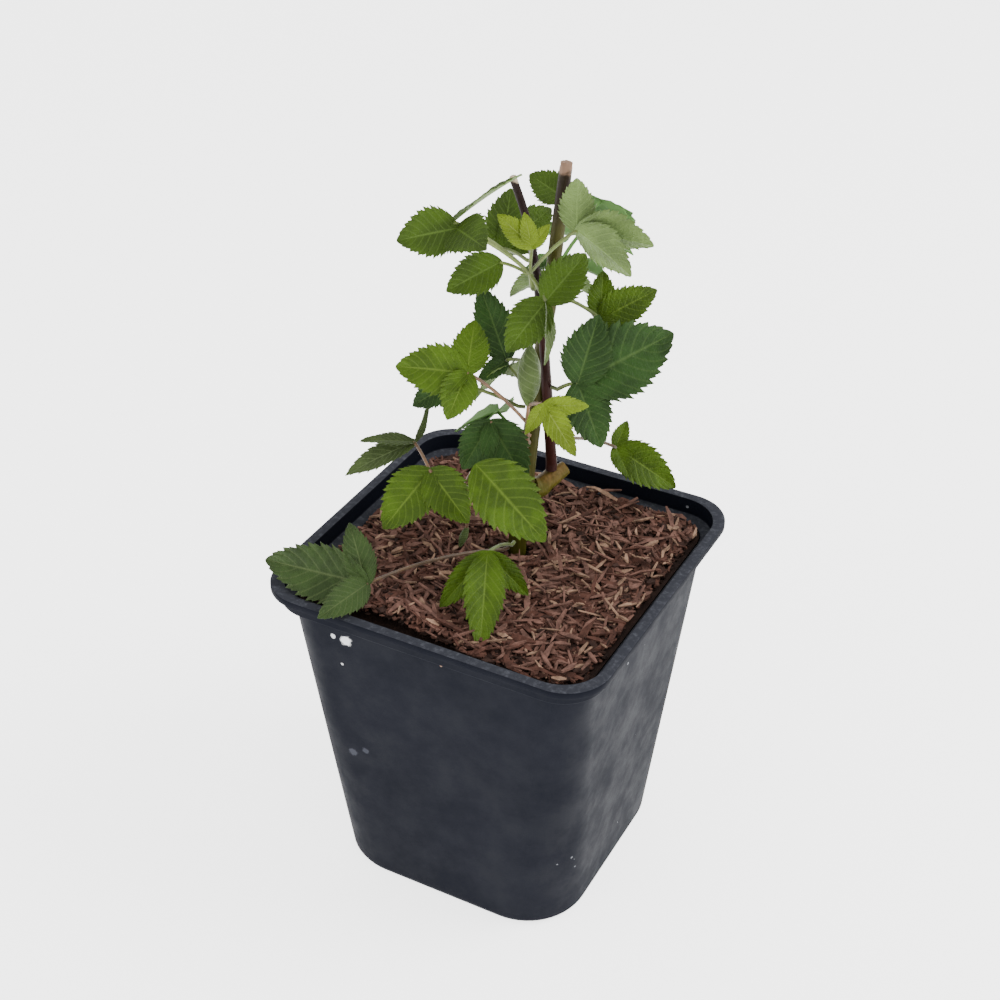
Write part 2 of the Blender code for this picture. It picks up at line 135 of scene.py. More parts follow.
# Marks: middle, reach, strength, colour
POT_MARKS = [
    ((-31.4, -57.9, 117.9), 3.4, 1.0, (0.62, 0.63, 0.63)),
    ((-36.8, -57.9, 118.1), 1.6, 0.9, (0.55, 0.56, 0.57)),
    ((-34.2, -56.9, 105.9), 0.9, 0.9, (0.5, 0.5, 0.5)),
    ((-33.6, -53.6, 62.3), 3.0, 0.3, (0.1, 0.105, 0.13)),
    ((-27.7, -53.8, 65.5), 2.2, 0.28, (0.1, 0.105, 0.13)),
    ((-37.1, -49.9, 13.8), 3.0, 0.25, (0.05, 0.018, 0.014)),
    ((57.1, -57.0, 106.8), 5.0, 0.12, (0.03, 0.045, 0.085)),
    ((-2.8, -62.3, 132.2), 0.6, 0.9, (0.45, 0.45, 0.44)),
    ((6.7, -58.2, 121.8), 0.8, 0.9, (0.2, 0.13, 0.09)),
]

# Bark fill and the chips on it
BARK_LEVEL = 126
BARK_HEAP = 5
BARK_HEAP_AT = (-15, -52)
BARK_HEAP_REACH = 26
CHIP_EDGE = 1.2
CANE_ROOM = 3.6
CHIP_SEED = 5
CHIP_TRIES = 3
# The two powers of the beta distribution that makes short chips commoner than long ones
CHIP_SKEW = (1.4, 2.6)
CHIP_ROLL = 22
CHIP_BEND = 0.05
CHIP_RAGGED = 0.25
# A chip's rings: place along it as a share of its length, and how far the ring is drawn in
CHIP_RINGS = ((-0.5, 0.45), (0.0, 1.0), (0.5, 0.35))
CHIP_CORNERS = ((-1, -1), (1, -1), (1, 1), (-1, 1))
Chips = namedtuple("Chips", "name count length width thick lift tilt")
CHIP_KINDS = [
    Chips("bark_crumbs_dark", 3400, (1.2, 4.0), (0.7, 1.8), (0.4, 0.9), (0.0, 0.6), 25),
    Chips("bark_chips_dark", 1300, (4, 11), (1.2, 2.8), (0.5, 1.1), (0.2, 1.2), 16),
    Chips("bark_chips_red", 1500, (4, 14), (0.9, 2.6), (0.4, 1.0), (0.5, 2.0), 18),
    Chips("bark_chips_pink", 1000, (3, 15), (0.7, 2.2), (0.4, 0.9), (0.9, 2.6), 20),
    Chips("bark_chips_tan", 330, (3, 13), (0.6, 1.8), (0.4, 0.8), (1.2, 2.8), 24),
    Chips("bark_crumbs_red", 3200, (1.0, 3.6), (0.6, 1.6), (0.4, 0.8), (0.6, 2.2), 28),
]

# Canes
THICK_FOOT = (1.5, 7.5, 0)
THICK_TIP = (10, 21, 275)
THICK_RADII = (3.5, 2.2)
THICK_UPRIGHT = 4
SIDE_LEAD = 3
SideCane = namedtuple("SideCane", "parent height guides radii")
SIDE_CANES = {
    "crown": SideCane("thick", 153, [(8, 17.5, 154), (12, 24.5, 157)], (4.2, 2.6)),
    "stub": SideCane("thick", 149, [(-5, 6, 152), (-8.5, 2, 166)], (1.5, 1.1)),
}
THIN_FOOT = (9, 18.6)
THIN_PATH = [(10, 12, 191), (7.5, 9.5, 228), (2, 9.5, 256), (-3.3, 8.5, 272)]
THIN_RADII = (2.1, 1.3)
CANE_SIDES = 28
CANE_ROWS = 160
THICK_POINTS = 15
THIN_STEPS = 14
CANE_SLIM = 0.97
CANE_RELIEF = 0.10
CANE_SHARP = 60
CANE_GLOSS = 0.12
# Colour below and above a height, the dry tip, and knots as (run up the cane, swelling, reach)
CaneBark = namedtuple("CaneBark", "slot finish low high turn_at tip_at tip knots ridge ragged")
CANE_BARKS = {
    "thick": CaneBark("cane", "cane_olive", (0.042, 0.040, 0.004), (0.016, 0.009, 0.005), 255, 270,
                      (0.22, 0.135, 0.09), [(30, 0.10, 2), (64, 0.08, 2), (98, 0.09, 2)], 0.035, 0.35),
    "thin": CaneBark("cane_dark", "cane_maroon", (0.026, 0.006, 0.004), (0.011, 0.004, 0.003), 225, 270.5,
                     (0.42, 0.34, 0.24), [(30, 0.10, 2), (70, 0.10, 2)], 0.03, 0.3),
    "crown": CaneBark("cane", "crown_bark", (0.070, 0.062, 0.006), (0.16, 0.075, 0.03), 158, 400,
                      (0.22, 0.135, 0.09), [(3, 0.10, 2), (9, 0.12, 2)], 0.05, 0.4),
    "stub": CaneBark("cane", "stub_bark", (0.20, 0.12, 0.06), (0.23, 0.10, 0.06), 162, 165,
                     (0.23, 0.10, 0.06), [(6, 0.08, 1.5)], 0.04, 0.2),
}

# Leaflets
BLADE_WIDTH = 0.66
BLADE_DROOP = 0.10
BLADE_FOLD = 0.22
BLADE_ROWS = 109
BLADE_COLUMNS = 15
VEINS = 9
VEIN_SWEEP = 0.26
PLEAT_DEPTH = 0.018
TOOTH_DEPTH = 0.20
TOOTH_LEAN = 0.030
PETIOLE_RADIUS = 0.6
PETIOLE_ARCH = 0.10
STALK_SINK = 0.9
LEAF_SEED = 3
FRONT = (-62, 36)
BLADE_VARY = (0.7, 1.3)
BLADE_CURL = (-0.05, 0.08)
BLADE_WAVE = 0.012
BLADE_WAVES = 1.6
BLADE_THIN = 0.26
BLADE_THICK = 0.01
BLADE_FADE = 8
TOOTH_LARGE = 0.65
TOOTH_SMALL = 0.35
TOOTH_MEAN = 0.55
TOOTH_MARGIN = 5
TUBE_END = 0.02
STALK_FOOT = 0.85
STALK_SIDES = 10
BRANCH_SIDES = 8
BUD_ROWS = 60
BUD_SIDES = 24
BUD_RADIUS = 0.19
BUD_RIB = 0.10
HAIR_ROWS = 60
HAIRS_PER_MM = 2.2
HAIR_REACH = (0.35, 0.9)
HAIR_LEAN = 0.35
HAIR_WIDE = 0.045

# A leaf branches off its spray's stalk at a share along it, and its blades meet at its node.
# Its face is the bearing and rise of its upper side, and a blade is (bearing, rise, length).
Leaf = namedtuple("Leaf", "along node face blades width bud tone", defaults=[BLADE_WIDTH, False, "mid"])
Spray = namedtuple("Spray", "name cane height tip radius leaves stalk", defaults=["stalk_green"])

SPRAYS = [
    Spray("leaves_upper_shoot", "thin", 236, (6, 4, 242), 1.5, [
        Leaf(1.0, (-8, -20, 264), FRONT, [(-140, -6, 19), (-34, 6, 18)], 0.8),
        Leaf(1.0, (-9, -20, 266), (-150, 25), [(62, 28, 27)], 0.4),
        Leaf(0.8, (-4, 2, 244), FRONT, [(-130, -20, 20)]),
        Leaf(1.0, (9, -1, 254), FRONT, [(-164, 42, 15), (40, 52, 9), (164, 72, 11)], 0.5, tone="young"),
        Leaf(1.0, (21, 7, 259), (115, 20), [(24, -6, 25), (2, -26, 23), (124, 76, 17)]),
        Leaf(0.9, (13, 2, 234), FRONT, [(-108, -34, 21), (62, 40, 21)]),
        Leaf(0.9, (13, 2, 233), (30, 30), [(-56, -56, 20)], 0.6, tone="grey"),
    ]),
    Spray("leaves_upper_back", "thin", 243, (-11, 17, 241), 0.8, [
        Leaf(1.0, (-11, 17, 241), FRONT, [(104, 56, 21), (62, 28, 23)]),
    ]),
    Spray("leaf_cane_top", "thick", 258, (6, 28, 259), 0.8, [
        Leaf(1.0, (6, 28, 259), FRONT, [(-174, 28, 14)], 0.8),
    ]),
    Spray("leaves_right_young", "thick", 227, (20, 31, 216), 0.8, [
        Leaf(1.0, (20, 31, 216), FRONT, [(112, 56, 17), (40, 26, 22), (-28, -12, 9)], 0.58, tone="bright"),
    ]),
    Spray("leaves_right_large", "thin", 197, (23, 8, 203), 0.9, [
        Leaf(1.0, (23, 8, 203), FRONT, [(44, 24, 37), (-32, -46, 23), (76, 66, 24)], 0.68, tone="dark"),
    ]),
    Spray("leaves_middle_shoot", "thick", 174, (8, 1, 194), 1.2, [
        Leaf(0.5, (-8, -13, 209), FRONT, [(-152, 6, 24), (104, 56, 18), (-94, -44, 17)], 0.7, tone="bright"),
        Leaf(1.0, (8, 1, 195), FRONT, [(112, 82, 22)], bud=True, tone="grey"),
        Leaf(1.0, (17.5, -6, 200), FRONT, [(28, 0, 15), (-98, -28, 12), (-22, -36, 20)], 0.42, tone="young"),
        Leaf(0.2, (-5, -2, 185), FRONT, [(-18, -42, 24), (-108, -46, 19)], tone="dark"),
    ], "stalk_pink"),
    Spray("leaves_back_left", "thick", 200, (-13, 25, 194), 0.8, [
        Leaf(1.0, (-13, 25, 194), FRONT, [(158, 58, 28), (-112, -14, 13)], 0.5, tone="dark"),
    ]),
    Spray("leaf_middle_left", "thick", 186, (-21, -2, 196), 0.8, [
        Leaf(1.0, (-21, -2, 196), FRONT, [(-132, -26, 15)], tone="dark"),
    ]),
    Spray("leaves_left_shoot", "thick", 143, (-21, -16, 168), 1.2, [
        Leaf(1.0, (-32, -8, 172), (30, 45), [(-136, -16, 27), (-144, 10, 19), (64, 62, 15)], 0.36,
             tone="grey"),
        Leaf(1.0, (-21, -16, 168), FRONT, [(-112, -36, 26), (-20, -30, 23)], tone="bright"),
        Leaf(0.6, (-3, -15, 175), FRONT, [(-12, -30, 35)], 0.62, tone="bright"),
        Leaf(0.5, (-11, -8, 142), FRONT, [(-96, -52, 8)], bud=True, tone="grey"),
    ], "stalk_pink"),
    Spray("leaves_front_low", "thick", 133, (6, -24, 147), 0.8, [
        Leaf(1.0, (6, -24, 147), FRONT, [(-66, -28, 35), (4, -40, 21), (-116, -36, 25)], 0.4, tone="bright"),
    ]),
    Spray("leaves_over_left_rim", "thick", 130, (-27, -50, 139), 0.8, [
        Leaf(1.0, (-27, -50, 139), FRONT, [(-168, 4, 39), (146, 52, 22), (-104, -4, 22)], 0.5, tone="dull"),
    ], "stalk_brown"),
    Spray("leaves_over_right_rim", "thin", 169, (19, 53, 152), 0.7, [
        Leaf(1.0, (19, 53, 152), FRONT, [(4, -24, 27), (80, 50, 11), (-34, -34, 13)], 0.55, tone="bright"),
    ], "stalk_brown"),
]

# Far side, by the seeded rule that set its solids
FAR_TRIES = 60
FAR_LOW = 160
FAR_HIGH = 252
FAR_BEARINGS = (60, 180)
FAR_PETIOLE = (16, 24)
FAR_BLADE = (18, 24)
FAR_SPREAD = 68
FAR_SEED = 2
FAR_TONES = ("mid", "dark", "bright")
FAR_STEP = 0.618
FAR_TURN = 0.382
FAR_TURN_FROM = 0.1
FAR_RISE = (5, 30)
FAR_HANG = (-45, -25)
FAR_FACE = 50
FAR_SIDE_LIFT = 8
FAR_SIDE_SIZE = 0.85
FAR_STALK = 0.8
FAR_MATCH = 1

# Each tone's upper colour, its vein colour and its underside
TONES = {
    "mid": ((0.036, 0.070, 0.003), (0.080, 0.135, 0.020), (0.100, 0.155, 0.040)),
    "bright": ((0.046, 0.088, 0.003), (0.105, 0.165, 0.018), (0.105, 0.165, 0.036)),
    "dark": ((0.017, 0.045, 0.007), (0.052, 0.095, 0.022), (0.070, 0.110, 0.038)),
    "young": ((0.115, 0.170, 0.006), (0.190, 0.250, 0.040), (0.150, 0.210, 0.045)),
    "grey": ((0.055, 0.083, 0.022), (0.125, 0.165, 0.065), (0.110, 0.150, 0.060)),
    "dull": ((0.027, 0.050, 0.011), (0.075, 0.105, 0.036), (0.080, 0.115, 0.042)),
}
STALKS = {
    "stalk_green": (0.085, 0.120, 0.010),
    "stalk_pink": (0.150, 0.075, 0.030),
    "stalk_brown": (0.080, 0.040, 0.013),
}
BARKS = {
    "bark_crumbs_dark": (0.020, 0.010, 0.007),
    "bark_chips_dark": (0.030, 0.014, 0.010),
    "bark_chips_red": (0.070, 0.030, 0.021),
    "bark_chips_pink": (0.130, 0.066, 0.050),
    "bark_chips_tan": (0.230, 0.140, 0.095),
    "bark_crumbs_red": (0.080, 0.036, 0.025),
}
STALK_GREENS = (0.65, 1.2)
BARK_SHADES = (0.55, 1.45)
BARK_GLOSS = 0.2
LEAF_SHADES = (0.72, 1.22)
LEAF_GLOSS = 0.14
VEIN_SHARPNESS = 7.0
RIB_SHARPNESS = 14.0

# A leaf's two sides: roughness, how far the veins' colour shows, sheen, and which way the veins stand
LeafSide = namedtuple("LeafSide", "rough veins sheen relief")
UPPER_SIDE = LeafSide(0.50, 0.45, 0.03, -1.0)
UNDERSIDE = LeafSide(0.65, 0.5, 0.25, 1.0)


# Vectors and meshes

def unit(vectors):
    return vectors / np.linalg.norm(vectors, axis=-1, keepdims=True)


def direction(bearing, rise):
    """Unit vector from a bearing in plan and a rise above level, both in degrees."""
    b, r = math.radians(bearing), math.radians(rise)
    return np.array([math.cos(b) * math.cos(r), math.sin(b) * math.cos(r), math.sin(r)])


def grid_quads(rows, columns, closed=False):
    """Corner numbers of a grid's quads, whose normal is the columns' way crossed with the rows' way."""
    across = np.arange(columns if closed else columns - 1)
    i, j = np.meshgrid(np.arange(rows - 1), across, indexing="ij")
    k = (j + 1) % columns
    this, above = i * columns, (i + 1) * columns
    return np.stack([this + j, this + k, above + k, above + j], -1).reshape(-1, 4)


def new_object(name, data):
    made = bpy.data.objects.new(name, data)
    bpy.context.scene.collection.objects.link(made)
    return made


def bmesh_object(name, bm):
    mesh = bpy.data.meshes.new(name)
    bm.to_mesh(mesh)
    bm.free()
    return new_object(name, mesh)


class Shell:
    """Parts of one mesh, gathered as arrays: points in mm, quads, uv and the slot of each quad."""

    def __init__(self):
        self.points, self.quads, self.uvs, self.slots = [], [], [], []
        self.count = 0

    def add(self, points, quads, slot=0, uv=None):
        self.points.append(points)
        self.quads.append(quads + self.count)
        self.uvs.append(np.zeros((len(points), 2)) if uv is None else uv)
        self.slots.append(np.broadcast_to(slot, len(quads)))
        self.count += len(points)

    def piece(self, name, finishes, slot, nodes=()):
        """Make the mesh and its object, ride it on the body and let it stand for its CAD nodes."""
        points = np.concatenate(self.points) * MM
        quads = np.concatenate(self.quads).astype(np.int32)
        corners = quads.ravel()
        mesh = bpy.data.meshes.new(name)
        mesh.vertices.add(len(points))
        mesh.vertices.foreach_set("co", points.astype(np.float32).ravel())
        mesh.loops.add(len(corners))
        mesh.loops.foreach_set("vertex_index", corners)
        mesh.polygons.add(len(quads))
        mesh.polygons.foreach_set("loop_start", np.arange(len(quads), dtype=np.int32) * 4)
        for finish in finishes:
            mesh.materials.append(finish)
        mesh.polygons.foreach_set("material_index", np.concatenate(self.slots).astype(np.int32))
        mesh.update(calc_edges=True)
        layer = mesh.uv_layers.new(name="surface")
        layer.data.foreach_set("uv", np.concatenate(self.uvs)[corners].astype(np.float32).ravel())
        mesh.shade_smooth()
        thing = new_object(name, mesh)
        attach(thing, BODY)
        if nodes:
            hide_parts(*nodes)
        return thing


def capped_tube(shell, path, radius, sides, slot=0):
    """A closed tube: ring i is path i plus radius (i, j) times the unit vector at angle j round the path.

    At each end a ring drawn in almost to a point is closed by a fan of quads, so sides is even.
    u runs round the tube and v along it.
    """
    path = np.asarray(path, float)
    radius = np.broadcast_to(np.asarray(radius, float), (len(path), sides))
    tangent = unit(np.gradient(path, axis=0))
    aside = np.linalg.svd(tangent)[2][-1]
    normal = unit(aside - (tangent @ aside)[:, None] * tangent)
    other = np.cross(tangent, normal)
    turn = np.linspace(0, 2 * math.pi, sides, endpoint=False)[None, :, None]
    around = np.cos(turn) * normal[:, None] + np.sin(turn) * other[:, None]
    rings = path[:, None] + radius[..., None] * around
    first = path[0] + TUBE_END * around[:1]
    last = path[-1] + TUBE_END * around[-1:]
    rings = np.concatenate([first, rings, last])
    rows = len(rings)
    u, v = np.meshgrid(np.arange(sides) / sides, np.linspace(0, 1, rows))
    fan = np.array([(0, i + 1, i + 2, i + 3) for i in range(0, sides - 3, 2)])
    faces = np.concatenate([grid_quads(rows, sides, True), fan[:, ::-1], fan + (rows - 1) * sides])
    shell.add(rings.reshape(-1, 3), faces, slot, np.stack([u, v], -1).reshape(-1, 2))


def smooth_path(points, steps):
    """Points along a Catmull-Rom curve through a few guide points."""
    points = [np.asarray(point, float) for point in points]
    guides = [points[0] * 2 - points[1], *points, points[-1] * 2 - points[-2]]
    spans = len(points) - 1
    place = np.minimum(np.linspace(0, spans, steps + 1), spans - 1e-6)
    i = place.astype(int)
    t = (place - i)[:, None]
    a, b, c, d = (np.array(guides)[i + k] for k in range(4))
    return 0.5 * (2 * b + (c - a) * t + (2 * a - 5 * b + 4 * c - d) * t ** 2
                  + (3 * b - a - 3 * c + d) * t ** 3)


# Materials

def new_material(name):
    made = bpy.data.materials.new(name)
    made.use_nodes = True
    return made, made.node_tree, made.node_tree.nodes["Principled BSDF"]


def tint(colour, factor):
    return tuple(factor * c for c in colour)


def add_node(tree, kind, settings=None, **inputs):
    """A node with its settings and inputs: an input is a value or another node's output socket.

    A key such as i0 stands for the input's number, and any other key for its name.
    """
    made = tree.nodes.new(kind)
    for key, value in (settings or {}).items():
        setattr(made, key, value)
    for key, value in inputs.items():
        index = int(key[1:]) if key[0] == "i" and key[1:].isdigit() else key.replace("_", " ")
        socket = made.inputs[index]
        if isinstance(value, bpy.types.NodeSocket):
            tree.links.new(value, socket)
        else:
            socket.default_value = value
    return made


def object_place(tree):
    return add_node(tree, "ShaderNodeTexCoord").outputs["Object"]


def maths(tree, operation, a, b=0.0, c=0.0, clamp=False):
    settings = {"operation": operation, "use_clamp": clamp}
    return add_node(tree, "ShaderNodeMath", settings, i0=a, i1=b, i2=c).outputs[0]


def blend_colours(tree, factor, a, b):
    made = tree.nodes.new("ShaderNodeMix")
    made.data_type = "RGBA"
    for socket, value in ((made.inputs[0], factor), (made.inputs[6], a), (made.inputs[7], b)):
        if isinstance(value, bpy.types.NodeSocket):
            tree.links.new(value, socket)
        elif isinstance(value, tuple):
            socket.default_value = (*value, 1)
        else:
            socket.default_value = value
    return made.outputs[2]


def noise(tree, vector, scale, detail=4.0, rough=0.55):
    return add_node(tree, "ShaderNodeTexNoise", None, Vector=vector, Scale=scale, Detail=detail,
                    Roughness=rough).outputs["Fac"]


def ramp(tree, value, low, high):
    """0 below low and 1 above high, with a smooth step between them."""
    made = add_node(tree, "ShaderNodeMapRange", {"interpolation_type": "SMOOTHSTEP"}, Value=value,
                    From_Min=low, From_Max=high)
    return made.outputs[0]


def bump(tree, height, distance, strength):
    made = add_node(tree, "ShaderNodeBump", None, Strength=strength, Distance=distance, Height=height)
    return made.outputs[0]


def new_group(name, inputs, outputs):
    """A shader group of plain numbers: its inputs with their first values, and its outputs."""
    group = bpy.data.node_groups.new(name, "ShaderNodeTree")
    for label, value in inputs.items():
        socket = group.interface.new_socket(name=label, in_out="INPUT", socket_type="NodeSocketFloat")
        socket.default_value = value
    for label in outputs:
        group.interface.new_socket(name=label, in_out="OUTPUT", socket_type="NodeSocketFloat")
    return group, group.nodes.new("NodeGroupInput").outputs, group.nodes.new("NodeGroupOutput").inputs


def place_group(tree, key, **values):
    """A group placed in a material with its own values. Gives its outputs."""
    made = tree.nodes.new("ShaderNodeGroup")
    made.node_tree = GROUPS[key]
    for label, value in values.items():
        made.inputs[label].default_value = value
    return made.outputs


def vein_group():
    """Masks of a leaflet's midrib and side veins from its own UV: v along the midrib, u across.

    A side vein is where veins * (v - sweep * |2u - 1|) is a whole number.
    """
    group, given, out = new_group("leaf veins", {"Sharpness": VEIN_SHARPNESS}, ["Veins", "Midrib", "Margin"])
    uv = add_node(group, "ShaderNodeUVMap", {"uv_map": "surface"})
    apart = add_node(group, "ShaderNodeSeparateXYZ", None, Vector=uv.outputs[0])
    doubled = maths(group, "MULTIPLY", apart.outputs[0], 2.0)
    across = maths(group, "ABSOLUTE", maths(group, "SUBTRACT", doubled, 1.0))
    swept = maths(group, "SUBTRACT", apart.outputs[1], maths(group, "MULTIPLY", across, VEIN_SWEEP))
    near = maths(group, "PINGPONG", maths(group, "MULTIPLY", swept, float(VEINS)), 0.5)
    veins = maths(group, "SUBTRACT", 1.0, maths(group, "MULTIPLY", near, given["Sharpness"]), clamp=True)
    rib = maths(group, "SUBTRACT", 1.0, maths(group, "MULTIPLY", across, RIB_SHARPNESS), clamp=True)
    group.links.new(veins, out["Veins"])
    group.links.new(rib, out["Midrib"])
    group.links.new(ramp(group, across, 0.86, 1.0), out["Margin"])
    return group


def speckle_group():
    """Scattered specks: a cell is a speck where its own random value is low and its middle is near."""
    group, given, out = new_group("specks", {"Scale": 200.0, "Share": 0.06, "Size": 0.3}, ["Mask"])
    cells = add_node(group, "ShaderNodeTexVoronoi", None, Vector=object_place(group), Scale=given["Scale"])
    drawn = add_node(group, "ShaderNodeSeparateColor", None, Color=cells.outputs["Color"])
    chosen = maths(group, "LESS_THAN", drawn.outputs[0], given["Share"])
    size = maths(group, "MULTIPLY", drawn.outputs[1], given["Size"])
    close = maths(group, "LESS_THAN", cells.outputs["Distance"], size)
    group.links.new(maths(group, "MULTIPLY", chosen, close), out["Mask"])
    return group


def leaf_material(name, colour, vein, side):
    """Green in soft patches, with the veins' colour on veins and margin, and a fine net of creases."""
    made, tree, shader = new_material(name)
    masks = place_group(tree, "veins", Sharpness=VEIN_SHARPNESS)
    place = object_place(tree)
    patch = ramp(tree, noise(tree, place, scale=90.0, detail=3.0), 0.35, 0.65)
    base = blend_colours(tree, patch, *(tint(colour, shade) for shade in LEAF_SHADES))
    lines = maths(tree, "MAXIMUM", maths(tree, "MULTIPLY", masks["Veins"], side.veins),
                  maths(tree, "MULTIPLY", masks["Midrib"], 0.9))
    base = blend_colours(tree, lines, base, vein)
    margin = maths(tree, "MULTIPLY", masks["Margin"], 0.25)
    base = blend_colours(tree, margin, base, tint(vein, 0.6))
    tree.links.new(base, shader.inputs["Base Color"])
    shader.inputs["Roughness"].default_value = side.rough
    shader.inputs["Specular IOR Level"].default_value = LEAF_GLOSS
    shader.inputs["Sheen Weight"].default_value = side.sheen
    shader.inputs["Sheen Roughness"].default_value = 0.5
    net = add_node(tree, "ShaderNodeTexVoronoi", {"feature": "DISTANCE_TO_EDGE"}, Vector=place, Scale=1100.0)
    crease = maths(tree, "MULTIPLY", ramp(tree, net.outputs["Distance"], 0.0, 0.25), 0.5)
    relief = maths(tree, "ADD", maths(tree, "MULTIPLY", lines, side.relief), crease)
    tree.links.new(bump(tree, relief, distance=0.00022, strength=0.7), shader.inputs["Normal"])
    return made


def stalk_material(name, colour):
    made, tree, shader = new_material(name)
    place = object_place(tree)
    patch = ramp(tree, noise(tree, place, scale=160.0), 0.35, 0.65)
    base = blend_colours(tree, patch, *(tint(colour, shade) for shade in STALK_GREENS))
    tree.links.new(base, shader.inputs["Base Color"])
    shader.inputs["Roughness"].default_value = 0.5
    shader.inputs["Sheen Weight"].default_value = 0.2
    grain = noise(tree, place, scale=900.0)
    tree.links.new(bump(tree, grain, distance=0.0001, strength=0.6), shader.inputs["Normal"])
    return made


def bark_material(name, colour):
    made, tree, shader = new_material(name)
    place = object_place(tree)
    patch = ramp(tree, noise(tree, place, scale=260.0, detail=5.0, rough=0.65), 0.3, 0.7)
    base = blend_colours(tree, patch, *(tint(colour, shade) for shade in BARK_SHADES))
    tree.links.new(base, shader.inputs["Base Color"])
    shader.inputs["Roughness"].default_value = 0.9
    shader.inputs["Specular IOR Level"].default_value = BARK_GLOSS
    grain = noise(tree, place, scale=1500.0, rough=0.7)
    tree.links.new(bump(tree, grain, distance=0.0003, strength=0.8), shader.inputs["Normal"])
    return made


def cane_material(bark):
    """Bark that turns from one colour to another round a height, with long fibres and a dry tip."""
    made, tree, shader = new_material(bark.finish)
    place = object_place(tree)
    apart = add_node(tree, "ShaderNodeSeparateXYZ", None, Vector=place)
    height = maths(tree, "MULTIPLY", apart.outputs[2], 1 / MM)
    wander = maths(tree, "MULTIPLY", maths(tree, "SUBTRACT", noise(tree, place, scale=120.0), 0.5), 14.0)
    level = maths(tree, "ADD", height, wander)
    turned = ramp(tree, level, bark.turn_at - 6, bark.turn_at + 6)
    base = blend_colours(tree, turned, bark.low, bark.high)
    stretched = add_node(tree, "ShaderNodeMapping", None, Vector=place, Scale=(1, 1, 0.12))
    fibre = noise(tree, stretched.outputs[0], scale=900.0, rough=0.6)
    dark = maths(tree, "MULTIPLY", ramp(tree, fibre, 0.4, 0.7), 0.45)
    base = blend_colours(tree, dark, base, tint(bark.low, 0.4))
    base = blend_colours(tree, ramp(tree, level, bark.tip_at, bark.tip_at + 2), base, bark.tip)
    tree.links.new(base, shader.inputs["Base Color"])
    tree.links.new(maths(tree, "MULTIPLY_ADD", fibre, 0.3, 0.35), shader.inputs["Roughness"])
    shader.inputs["Specular IOR Level"].default_value = CANE_GLOSS
    tree.links.new(bump(tree, fibre, distance=0.0004, strength=0.6), shader.inputs["Normal"])
    return made


def pot_material():
    """Satin slate plastic: fine mould grain, dust that settles on level faces, specks and marks."""
    made, tree, shader = new_material("pot_plastic")
    place = object_place(tree)
    cloud = ramp(tree, noise(tree, place, scale=22.0, detail=5.0, rough=0.6), 0.35, 0.7)
    base = blend_colours(tree, cloud, *POT_SLATE)
    facing = add_node(tree, "ShaderNodeNewGeometry")
    apart = add_node(tree, "ShaderNodeSeparateXYZ", None, Vector=facing.outputs["Normal"])
    level = ramp(tree, apart.outputs[2], 0.55, 1.0)
    grit = ramp(tree, noise(tree, place, scale=420.0, rough=0.7), 0.45, 0.75)
    dust = maths(tree, "MULTIPLY", level, maths(tree, "MULTIPLY_ADD", grit, 0.25, 0.18))
    base = blend_colours(tree, dust, base, POT_DUST)
    for scale, share, size, colour in POT_SPECKS:
        mask = place_group(tree, "specks", Scale=scale, Share=share, Size=size)["Mask"]
        base = blend_colours(tree, mask, base, colour)
    for centre, reach, strength, colour in POT_MARKS:
        away = add_node(tree, "ShaderNodeVectorMath", {"operation": "DISTANCE"}, i0=place,
                        i1=tuple(c * MM for c in centre)).outputs["Value"]
        ragged = maths(tree, "MULTIPLY", noise(tree, place, scale=380.0, rough=0.7), reach * 1.3 * MM)
        near = maths(tree, "SUBTRACT", reach * 1.4 * MM, maths(tree, "ADD", away, ragged))
        mask = ramp(tree, near, 0.0, 0.3 * reach * MM)
        base = blend_colours(tree, maths(tree, "MULTIPLY", mask, strength), base, colour)
    tree.links.new(base, shader.inputs["Base Color"])
    scuff = ramp(tree, noise(tree, place, scale=60.0, detail=6.0, rough=0.65), 0.3, 0.75)
    tree.links.new(maths(tree, "MULTIPLY_ADD", scuff, 0.22, 0.55), shader.inputs["Roughness"])
    shader.inputs["Specular IOR Level"].default_value = POT_GLOSS
    grain = noise(tree, place, scale=1800.0, detail=3.0)
    tree.links.new(bump(tree, grain, distance=0.00006, strength=0.5), shader.inputs["Normal"])
    return made


def floor_material():
    """White paper that glows a little, so that it stays white under soft light."""
    made, _, shader = new_material("floor")
    shader.inputs["Base Color"].default_value = (0.95, 0.95, 0.95, 1)
    shader.inputs["Roughness"].default_value = 0.8
    shader.inputs["Emission Color"].default_value = (1, 1, 1, 1)
    shader.inputs["Emission Strength"].default_value = FLOOR_GLOW
    return made


# Pot

def wall_at(z, inset):
    """Half width and corner radius of the wall at a height: each runs straight from foot to shoulder."""
    share = z / (POT_HEIGHT - COLLAR_DEPTH)
    half = WALL_FOOT_HALF + (WALL_TOP_HALF - WALL_FOOT_HALF) * share
    corner = CORNER_FOOT + (CORNER_TOP - CORNER_FOOT) * share
    return half - inset, corner - inset


def soften(profile, reach):
    """Each inner point of a profile gives way to three on a small arc, reach to each side of it."""
    profile = np.array(profile, float)
    made = [profile[0]]
    for before, at, after in zip(profile, profile[1:], profile[2:]):
        back, on = before - at, after - at
        cut_back = back * min(0.45, reach / np.linalg.norm(back))
        cut_on = on * min(0.45, reach / np.linalg.norm(on))
        made += [at + cut_back, at + 0.25 * (cut_back + cut_on), at + cut_on]
    return np.array(made + [profile[-1]])


